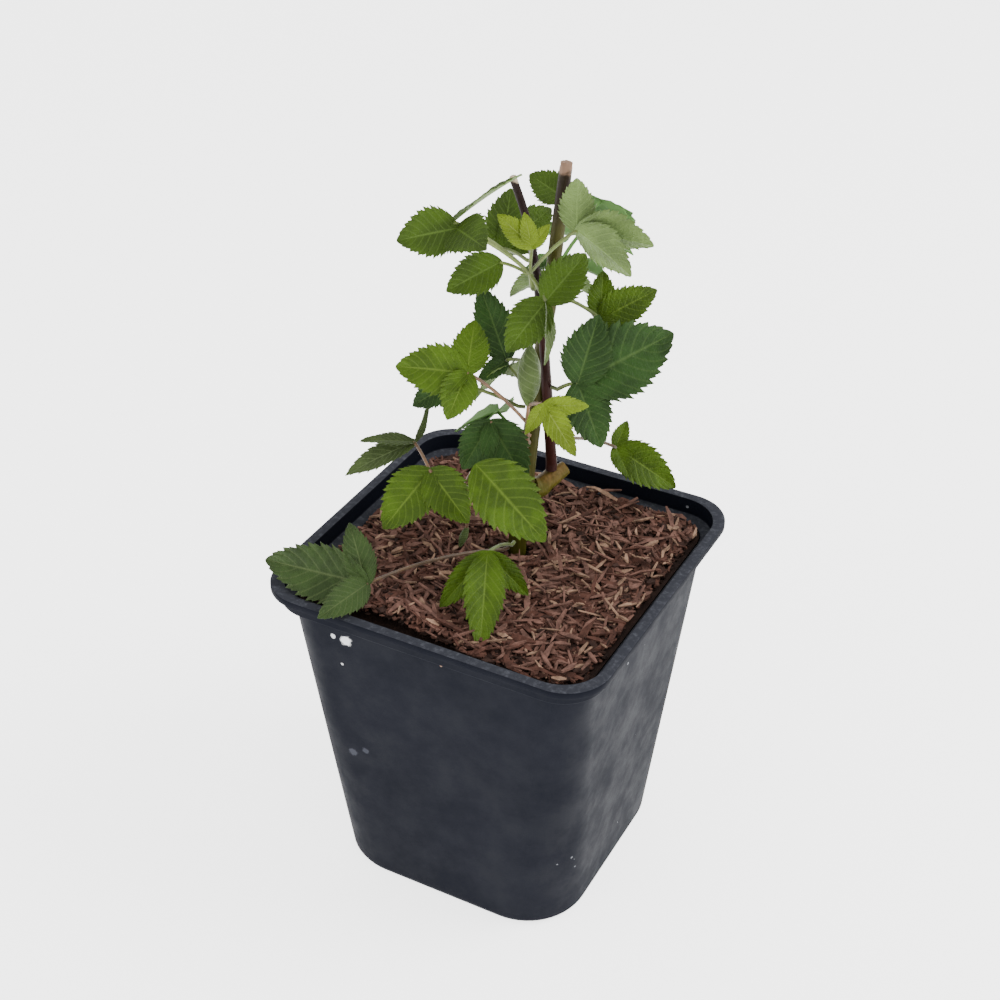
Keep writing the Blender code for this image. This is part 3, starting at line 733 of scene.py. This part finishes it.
def square_rings(profile, steps):
    """Rings (half, corner, z) round a square: quarter arcs of that corner radius at its four corners."""
    turn = np.linspace(0, math.pi / 2, steps + 1)
    turns = (np.arange(4)[:, None] * math.pi / 2 + turn).ravel()
    middles = np.repeat(np.arange(4) * math.pi / 2 + math.pi / 4, steps + 1)
    half, corner, z = (profile[:, k][:, None] for k in range(3))
    x = (half - corner) * math.sqrt(2) * np.cos(middles) + corner * np.cos(turns)
    y = (half - corner) * math.sqrt(2) * np.sin(middles) + corner * np.sin(turns)
    return np.stack([x, y, np.broadcast_to(z, x.shape)], -1)


def make_pot():
    """A square tapered shell: its profile runs up the outside, over the lip and down the inside."""
    shoulder = POT_HEIGHT - COLLAR_DEPTH
    under = POT_HEIGHT - LIP_THICK
    corner = CORNER_TOP + 2
    inner = COLLAR_HALF - WALL_THICK
    middle = (0.5, 0.4)
    foot_half, foot_corner = wall_at(0, 0)
    profile = [
        (*middle, 0),
        (foot_half - FOOT_BEVEL, foot_corner - FOOT_BEVEL, 0),
        (foot_half - 0.3 * FOOT_BEVEL, foot_corner - 0.3 * FOOT_BEVEL, 0.3 * FOOT_BEVEL),
        (*wall_at(FOOT_BEVEL, 0), FOOT_BEVEL),
        (*wall_at(shoulder, 0), shoulder),
        (COLLAR_HALF, corner, shoulder + 0.5),
        (COLLAR_HALF, corner, under),
        (LIP_HALF, corner + 1, under - 1),
        (LIP_HALF, corner + 1, POT_HEIGHT),
        (inner, corner - 0.5, POT_HEIGHT),
        (inner, corner - WALL_THICK, shoulder + 1.6),
        (*wall_at(shoulder, WALL_THICK), shoulder + 1),
        (*wall_at(FOOT_BEVEL, WALL_THICK), FOOT_BEVEL),
        (foot_half - FOOT_BEVEL, foot_corner - FOOT_BEVEL, WALL_THICK),
        (*middle, WALL_THICK),
    ]
    rings = square_rings(soften(profile, EDGE_SOFT), POT_CORNER_STEPS)
    rows, columns = rings.shape[:2]
    bm = bmesh.new()
    points = [bm.verts.new(point * MM) for point in rings.reshape(-1, 3)]
    for quad in grid_quads(rows, columns, True):
        bm.faces.new([points[i] for i in quad])
    bm.faces.new(points[:columns][::-1])
    bm.faces.new(points[-columns:])
    bmesh.ops.recalc_face_normals(bm, faces=bm.faces)
    pot = bmesh_object("pot_shell", bm)
    cut_drain_holes(pot)
    pot.data.materials.clear()
    pot.data.materials.append(pot_material())
    pot.data.shade_smooth()
    pot.data.set_sharp_from_angle(angle=math.radians(POT_SHARP))
    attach(pot, BODY)
    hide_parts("pot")


def cut_drain_holes(pot):
    """Take four upright cylinders out of the pot's floor, one in each quarter."""
    bm = bmesh.new()
    for sx in (-1, 1):
        for sy in (-1, 1):
            place = Matrix.Translation((sx * DRAIN_OUT * MM, sy * DRAIN_OUT * MM, 0))
            bmesh.ops.create_cone(bm, cap_ends=True, segments=DRAIN_SIDES, radius1=DRAIN_RADIUS * MM,
                                  radius2=DRAIN_RADIUS * MM, depth=6 * WALL_THICK * MM, matrix=place)
    drain = bmesh_object("drain", bm)
    cut = pot.modifiers.new("drain", "BOOLEAN")
    cut.object = drain
    cut.operation = "DIFFERENCE"
    bpy.context.view_layer.update()
    shaped = pot.evaluated_get(bpy.context.evaluated_depsgraph_get())
    pot.data = bpy.data.meshes.new_from_object(shaped)
    pot.modifiers.clear()
    bpy.data.objects.remove(drain, do_unlink=True)


# Bark

def bark_height(x, y):
    """The fill's level with its low heap by the front left wall."""
    away = np.hypot(x - BARK_HEAP_AT[0], (y - BARK_HEAP_AT[1]) * 1.8)
    edge = np.minimum(1, np.hypot(x, y) / 30) ** 2
    return BARK_LEVEL + edge * BARK_HEAP * np.exp(-((away / BARK_HEAP_REACH) ** 2))


def throw_chips(kind, rng):
    """Middles, bearings and lengths of chips that lie inside the pot's wall and clear of the old cane."""
    half, corner = wall_at(POT_HEIGHT - COLLAR_DEPTH, WALL_THICK + CHIP_EDGE)
    tries = kind.count * CHIP_TRIES
    middle = rng.uniform(-half, half, (tries, 2))
    bearing = rng.uniform(0, 2 * math.pi, tries)
    length = kind.length[0] + (kind.length[1] - kind.length[0]) * rng.beta(*CHIP_SKEW, tries)
    ends = 0.5 * length[:, None] * np.stack([np.cos(bearing), np.sin(bearing)], -1)
    keep = np.hypot(*(middle - THICK_FOOT[:2]).T) > CANE_ROOM + 0.5
    for end in (middle - ends, middle + ends):
        over = np.maximum(np.abs(end) - (half - corner), 0)
        keep &= (np.abs(end).max(1) < half) & (np.hypot(over[:, 0], over[:, 1]) < corner)
        keep &= np.hypot(*(end - THICK_FOOT[:2]).T) > CANE_ROOM
    chosen = np.flatnonzero(keep)[:kind.count]
    return middle[chosen], bearing[chosen], length[chosen]


def chip_field(kind, rng):
    """Slivers of bark: three rings of four corners each, bent in the middle, thrown on the fill.

    A ring is the sliver's middle plus its share of the length along it, drawn in at both ends.
    """
    middle, bearing, length = throw_chips(kind, rng)
    n = len(middle)
    tilt = np.radians(rng.normal(0, kind.tilt / 2, n))
    aim = np.stack([np.cos(bearing) * np.cos(tilt), np.sin(bearing) * np.cos(tilt), np.sin(tilt)], -1)
    side = np.stack([-np.sin(bearing), np.cos(bearing), np.zeros(n)], -1)
    roll = np.radians(rng.normal(0, CHIP_ROLL, n))[:, None]
    up = np.cross(aim, side)
    side, up = side * np.cos(roll) + up * np.sin(roll), up * np.cos(roll) - side * np.sin(roll)
    width = rng.uniform(*kind.width, n)
    thick = rng.uniform(*kind.thick, n)
    lift = rng.uniform(*kind.lift, n) + 0.5 * thick + 0.5 * length * np.abs(np.sin(tilt))
    base = np.concatenate([middle, (bark_height(middle[:, 0], middle[:, 1]) + lift)[:, None]], 1)
    bend = rng.normal(0, CHIP_BEND, n) * length
    points = np.empty((n, 3, 4, 3))
    for k, (along, draw) in enumerate(CHIP_RINGS):
        ring = base + aim * (along * length)[:, None] + side * (bend * (along == 0))[:, None]
        grow = draw * rng.uniform(0.8, 1.2, n)
        for c, (a, b) in enumerate(CHIP_CORNERS):
            jitter = 1 + rng.uniform(-CHIP_RAGGED, CHIP_RAGGED, n)
            points[:, k, c] = ring + side * (a * 0.5 * width * grow * jitter)[:, None]
            points[:, k, c] += up * (b * 0.5 * thick * (0.6 + 0.4 * draw))[:, None]
    quads = [(4 * k + c, 4 * k + 4 + c, 4 * k + 4 + (c + 1) % 4, 4 * k + (c + 1) % 4)
             for k in range(2) for c in range(4)]
    quads += [(0, 1, 2, 3), (11, 10, 9, 8)]
    faces = np.array(quads)[None] + 12 * np.arange(n)[:, None, None]
    return points.reshape(-1, 3), faces.reshape(-1, 4)


def make_bark():
    """The fill keeps its CAD shape under a new finish, and six kinds of chip lie on it."""
    bed = frame["nodes"]["bark_fill"].data.materials
    bed.clear()
    bed.append(bark_material("bark_bed", BARKS["bark_crumbs_dark"]))
    rng = np.random.default_rng(CHIP_SEED)
    for kind in CHIP_KINDS:
        shell = Shell()
        shell.add(*chip_field(kind, rng))
        piece = shell.piece(kind.name, [bark_material(kind.name, BARKS[kind.name])], "bark")
        piece.data.shade_flat()


# Canes

def cane_at(cane, height):
    """Centre, axis and radius of a cane where it passes a height."""
    path, radii = cane
    for i, (low, high) in enumerate(zip(path, path[1:])):
        if low[2] <= height <= high[2] or i == len(path) - 2:
            break
    t = (height - low[2]) / (high[2] - low[2])
    share = (i + t) / (len(path) - 1)
    return low + (high - low) * t, unit(high - low), radii[0] + (radii[1] - radii[0]) * share


def beside_cane(cane, height, target):
    """A point a small gap off the cane's side towards a target, and the way that leads off from it."""
    centre, axis, radius = cane_at(cane, height)
    lead = np.asarray(target, float) - centre
    lead = unit(lead - axis * (lead @ axis))
    return centre + lead * (radius + 1.3 * GAP), lead


def cane_paths():
    """Each cane's path and its radii at foot and tip, by the same rules as the solids."""
    foot = np.array(THICK_FOOT, float) + (0, 0, BARK_LEVEL + GAP)
    upright = foot + (0, 0, THICK_UPRIGHT)
    leaning = upright + (np.array(THICK_TIP) - upright) * np.linspace(0, 1, THICK_POINTS)[:, None]
    canes = {"thick": (np.concatenate([foot[None], leaning]), THICK_RADII)}
    for key, side in SIDE_CANES.items():
        start, lead = beside_cane(canes[side.parent], side.height, side.guides[0])
        guides = [start, start + lead * SIDE_LEAD, *side.guides]
        canes[key] = (smooth_path(guides, 2 * len(guides)), side.radii)
    foot = np.array([*THIN_FOOT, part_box("cane_thin")[0].z / MM])
    path = smooth_path([foot + (0, 0, SIDE_LEAD), *THIN_PATH], THIN_STEPS)
    canes["thin"] = (np.concatenate([foot[None], path]), THIN_RADII)
    return canes


def resample(path, rows):
    """Points spaced evenly by length along a broken line, and how far along it each lies."""
    path = np.asarray(path, float)
    run = np.concatenate([[0], np.cumsum(np.linalg.norm(np.diff(path, axis=0), axis=1))])
    spots = np.linspace(0, run[-1], rows)
    return np.stack([np.interp(spots, run, path[:, k]) for k in range(3)], -1), spots


def cane_piece(name, cane, bark):
    """A cane with its bark's relief: radius times 1 + ridges along it + a swelling at each knot.

    The ridges are a few cosines round the cane whose phase drifts along it. The ends are cut flat,
    and the last two rings are ragged, with draws that the name's length seeds.
    """
    path, run = resample(cane[0], CANE_ROWS)
    taper = np.linspace(cane[1][0], cane[1][1], CANE_ROWS)[:, None]
    turn = np.linspace(0, 2 * math.pi, CANE_SIDES, endpoint=False)[None]
    height = run[:, None]
    relief = bark.ridge * (np.cos(5 * turn + 0.05 * height) * 0.5 + np.cos(9 * turn - 0.11 * height) * 0.3
                           + np.cos(2 * turn + 0.35 * height) * 0.3 + np.sin(0.9 * height + 3 * turn) * 0.25)
    for spot, swell, reach in bark.knots:
        bulge = swell * np.exp(-(((height - spot) / reach) ** 2))
        relief = relief + bulge * (0.7 + 0.3 * np.cos(turn - spot))
    radius = taper * (CANE_SLIM + np.minimum(relief, CANE_RELIEF))
    rng = np.random.default_rng(len(name))
    radius[-1] *= 1 - bark.ragged * rng.random(CANE_SIDES)
    radius[-2] *= 1 - 0.5 * bark.ragged * rng.random(CANE_SIDES)
    shell = Shell()
    capped_tube(shell, path, radius, CANE_SIDES)
    piece = shell.piece(name + "_stem", [cane_material(bark)], bark.slot, [name])
    piece.data.set_sharp_from_angle(angle=math.radians(CANE_SHARP))


# Leaves

def outline(t):
    """Half the width of a leaflet over half its greatest width: sin(pi t^0.75)^0.8."""
    return np.sin(math.pi * np.clip(t, 0, 1) ** 0.75).clip(0) ** 0.8


def saw(x):
    """What is left of x over the whole number below it."""
    return x - np.floor(x)


def leaflet(shell, place, aim, face, length, width, slots, rng):
    """A toothed, pleated leaflet as a thin closed shell, with u across it and v along its midrib.

    Side veins run where VEINS (t - VEIN_SWEEP |s|) is whole, t along and s across. The blade bulges
    between them as the absolute sine, each vein ends in a tooth, and a smaller tooth stands between.
    """
    rows, columns = BLADE_ROWS, BLADE_COLUMNS
    side = unit(np.cross(aim, face))
    up = np.cross(side, aim)
    t = np.linspace(0.0, 0.995, rows)[:, None]
    s = np.sin(np.linspace(-1, 1, columns) * math.pi / 2)[None]
    reach = np.abs(s)
    margin = reach ** TOOTH_MARGIN
    phase = VEINS * (t - VEIN_SWEEP * reach)
    tooth = TOOTH_LARGE * saw(phase) + TOOTH_SMALL * saw(2 * phase)
    half = np.maximum(0.5 * width * length * outline(t), PETIOLE_RADIUS * 0.5)
    fade = np.minimum(1, np.minimum(t * BLADE_FADE, (1 - t) * BLADE_FADE))
    across = half * s * (1 + TOOTH_DEPTH * (tooth - TOOTH_MEAN) * margin * fade)
    along = length * (t + TOOTH_LEAN * tooth * margin * fade)
    fold = BLADE_FOLD * rng.uniform(*BLADE_VARY)
    droop = BLADE_DROOP * rng.uniform(*BLADE_VARY)
    curl = rng.uniform(*BLADE_CURL)
    wave = BLADE_WAVE * length * np.sin(2 * math.pi * (BLADE_WAVES * t + rng.random())) * reach * s
    pleat = PLEAT_DEPTH * length * np.abs(np.sin(math.pi * phase)) * np.minimum(1, reach * 3) * fade
    lift = fold * np.abs(across) - droop * length * t * t - curl * across ** 2 / (half.max() + 1e-9)
    lift = lift + pleat + wave
    middle = place + along[..., None] * aim + across[..., None] * side + lift[..., None] * up
    thick = 0.5 * max(BLADE_THIN, BLADE_THICK * length) * (1 - 0.6 * margin)[..., None] * up
    top = (middle + thick).reshape(-1, 3)
    bottom = (middle - thick).reshape(-1, 3)
    quads = grid_quads(rows, columns)
    n = rows * columns
    ring = np.concatenate([np.arange(columns), np.arange(2, rows + 1) * columns - 1,
                           n - 2 - np.arange(columns - 1), np.arange(rows - 2, 0, -1) * columns])
    after = np.roll(ring, -1)
    rim = np.stack([after, ring, ring + n, after + n], -1)
    uv = np.stack([np.broadcast_to(0.5 + 0.5 * s, (rows, columns)), np.broadcast_to(t, (rows, columns))], -1)
    uv = uv.reshape(-1, 2)
    faces = np.concatenate([quads, quads[:, ::-1] + n, rim])
    marks = np.repeat([slots[0], slots[1], slots[0]], [len(quads), len(quads), len(rim)])
    shell.add(np.concatenate([top, bottom]), faces, marks, np.concatenate([uv, uv]))


def folded_leaf(shell, place, aim, length, slot):
    """A leaf still folded: a ribbed spindle, widest past its middle."""
    t = np.linspace(0, 1, BUD_ROWS)[:, None]
    turn = np.linspace(0, 2 * math.pi, BUD_SIDES, endpoint=False)[None]
    body = np.sin(math.pi * (0.06 + 0.92 * t)) ** 0.8
    ribs = 1 + BUD_RIB * np.abs(np.sin(3 * turn + 6 * t)) - BUD_RIB
    path = place + aim * (t * length - STALK_SINK)
    capped_tube(shell, path, BUD_RADIUS * length * body * ribs, BUD_SIDES, slot)


def petiole_path(start, lead, end, steps=14):
    """From its stem along lead, then over a quadratic arch to its end."""
    start, end = np.asarray(start, float), np.asarray(end, float)
    reach = np.linalg.norm(end - start)
    knee = start + lead * min(2.5, 0.3 * reach)
    top = (knee + end) / 2 + (0, 0, PETIOLE_ARCH * reach)
    t = np.linspace(0, 1, steps)[:, None]
    arch = knee * (1 - t) ** 2 + top * 2 * t * (1 - t) + end * t * t
    return np.concatenate([start[None], arch])


def bristles(shell, path, radius, rng):
    """Short stiff hairs round a stalk: thin four-sided spikes that lean up it."""
    dense, run = resample(path, HAIR_ROWS)
    count = int(run[-1] * HAIRS_PER_MM)
    spots = rng.uniform(0.05, 0.98, count) * (HAIR_ROWS - 1)
    i = spots.astype(int)
    tangent = unit(np.gradient(dense, axis=0))[i]
    out = unit(np.cross(tangent, rng.normal(size=(count, 3))))
    other = np.cross(tangent, out)
    foot = dense[i] + out * radius * 0.8
    tip = dense[i] + out * (radius + rng.uniform(*HAIR_REACH, count))[:, None] + tangent * HAIR_LEAN
    corners = [foot + other * HAIR_WIDE, foot - tangent * HAIR_WIDE,
               foot - other * HAIR_WIDE, foot + tangent * HAIR_WIDE]
    points = np.stack(corners + [tip + (c - foot) * 0.3 for c in corners], 1)
    quads = np.array([(0, 1, 5, 4), (1, 2, 6, 5), (2, 3, 7, 6), (3, 0, 4, 7), (3, 2, 1, 0), (4, 5, 6, 7)])
    shell.add(points.reshape(-1, 3), (quads[None] + 8 * np.arange(count)[:, None, None]).reshape(-1, 4))


def make_spray(spray, cane, rng):
    """One spray as two pieces: the blades of its leaves, and its bristly stalks."""
    tip = np.array(spray.tip, float)
    start, lead = beside_cane(cane, spray.height, tip)
    blades, stalks = Shell(), Shell()
    tones = sorted({leaf.tone for leaf in spray.leaves})
    finishes = [LEAVES[tone][k] for tone in tones for k in (0, 1)]
    path = petiole_path(start, lead, tip)
    thick = spray.radius * STALK_FOOT
    radii = np.linspace(thick, min(thick, PETIOLE_RADIUS), len(path))[:, None]
    capped_tube(stalks, path, radii, STALK_SIDES)
    bristles(stalks, path, PETIOLE_RADIUS, rng)
    for leaf in spray.leaves:
        node = np.array(leaf.node, float)
        root = start + (tip - start) * leaf.along
        if len(spray.leaves) > 1 and np.linalg.norm(node - root) > 2:
            aim = unit(node - root)
            branch = petiole_path(root - aim * STALK_SINK, aim, node)
            capped_tube(stalks, branch, PETIOLE_RADIUS, BRANCH_SIDES)
            bristles(stalks, branch, PETIOLE_RADIUS, rng)
        slot = 2 * tones.index(leaf.tone)
        face = direction(*leaf.face)
        for bearing, rise, length in leaf.blades:
            aim = direction(bearing, rise)
            if leaf.bud:
                folded_leaf(blades, node, aim, length, slot)
            else:
                leaflet(blades, node - aim * STALK_SINK, aim, face, length + STALK_SINK, leaf.width,
                        (slot, slot + 1), rng)
    blades.piece(spray.name + "_blades", finishes, "leaf", [spray.name])
    stalks.piece(spray.name + "_stalks", [STALK_FINISH[spray.stalk]], "leaf")


def far_sprays():
    """The far side's leaves in the rule's order, each for the first solid left whose box it fits.

    A solid that no leaf of the rule fits is left as the CAD made it.
    """
    chance = random.Random(FAR_SEED)
    kept = sorted(name for name in frame["nodes"] if name.startswith("leaves_far_"))
    low, high = FAR_BEARINGS
    foot, top = np.array(THICK_FOOT, float), np.array(THICK_TIP, float)
    for i in range(FAR_TRIES):
        height = FAR_LOW + (FAR_HIGH - FAR_LOW) * ((i * FAR_STEP) % 1)
        bearing = low + (high - low) * ((i * FAR_TURN + FAR_TURN_FROM) % 1)
        out = direction(bearing, chance.uniform(*FAR_RISE))
        reach = chance.uniform(*FAR_PETIOLE)
        size = chance.uniform(*FAR_BLADE)
        rise = chance.uniform(*FAR_HANG)
        axis = foot + (top - foot) * height / THICK_TIP[2]
        node = (axis[0] + out[0] * reach, axis[1] + out[1] * reach, height + out[2] * reach)
        if not kept:
            return
        tip = np.array(node) + direction(bearing, rise) * size
        lowest, highest = (np.array(corner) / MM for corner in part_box(kept[0]))
        reached = np.array([tip, node])
        if ((reached < lowest - FAR_MATCH) | (reached > highest + FAR_MATCH)).any():
            continue
        blades = [(bearing, rise, size)]
        blades += [(bearing + turn, rise + FAR_SIDE_LIFT, size * FAR_SIDE_SIZE)
                   for turn in (-FAR_SPREAD, FAR_SPREAD)]
        leaf = Leaf(1.0, node, (bearing, FAR_FACE), blades, tone=FAR_TONES[len(kept) % len(FAR_TONES)])
        yield Spray(kept.pop(0), "thick", height, node, FAR_STALK, [leaf])


# Room

def make_room():
    """A pale floor under a white sky, with two soft round lamps aimed at the plant."""
    bm = bmesh.new()
    bmesh.ops.create_grid(bm, x_segments=1, y_segments=1, size=FLOOR_REACH)
    floor = bmesh_object("floor", bm)
    floor.data.materials.append(floor_material())
    floor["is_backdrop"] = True
    world = bpy.data.worlds.new("studio")
    world.use_nodes = True
    sky = world.node_tree.nodes["Background"].inputs
    sky["Color"].default_value = (1, 1, 1, 1)
    sky["Strength"].default_value = SKY
    bpy.context.scene.world = world
    for lamp in LAMPS:
        light = bpy.data.lights.new(lamp.name, "AREA")
        light.shape = "DISK"
        light.size = lamp.size
        light.energy = lamp.power
        aim = Vector(LAMP_TARGET) - Vector(lamp.at)
        turn = aim.to_track_quat("-Z", "Y").to_matrix().to_4x4()
        new_object(lamp.name, light).matrix_world = Matrix.Translation(lamp.at) @ turn


def make_camera():
    """The camera of the photo: its own right, up and back are the columns of its turn."""
    right, up = np.array(CAMERA_RIGHT), np.array(CAMERA_UP)
    turn = np.eye(4)
    turn[:3, :3] = np.stack([right, up, np.cross(right, up)], -1)
    turn[:3, 3] = np.array(CAMERA_AT) * MM
    data = bpy.data.cameras.new("camera")
    data.lens = CAMERA_LENS
    data.sensor_width = SENSOR_WIDTH
    camera = new_object("camera", data)
    camera.matrix_world = Matrix(turn.tolist())
    bpy.context.scene.camera = camera


make_camera()
make_room()
GROUPS = {"veins": vein_group(), "specks": speckle_group()}
LEAVES = {
    tone: (leaf_material("leaf_" + tone, upper, vein, UPPER_SIDE),
           leaf_material("underside_" + tone, under, tint(under, 1.25), UNDERSIDE))
    for tone, (upper, vein, under) in TONES.items()
}
STALK_FINISH = {name: stalk_material(name, colour) for name, colour in STALKS.items()}
make_pot()
make_bark()
CANES = cane_paths()
for key, bark in CANE_BARKS.items():
    cane_piece("cane_" + key, CANES[key], bark)
leaf_rng = np.random.default_rng(LEAF_SEED)
for spray in [*SPRAYS, *far_sprays()]:
    make_spray(spray, CANES[spray.cane], leaf_rng)

[[list(corner) for corner in box] for box in (CAD_BOX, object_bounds())]
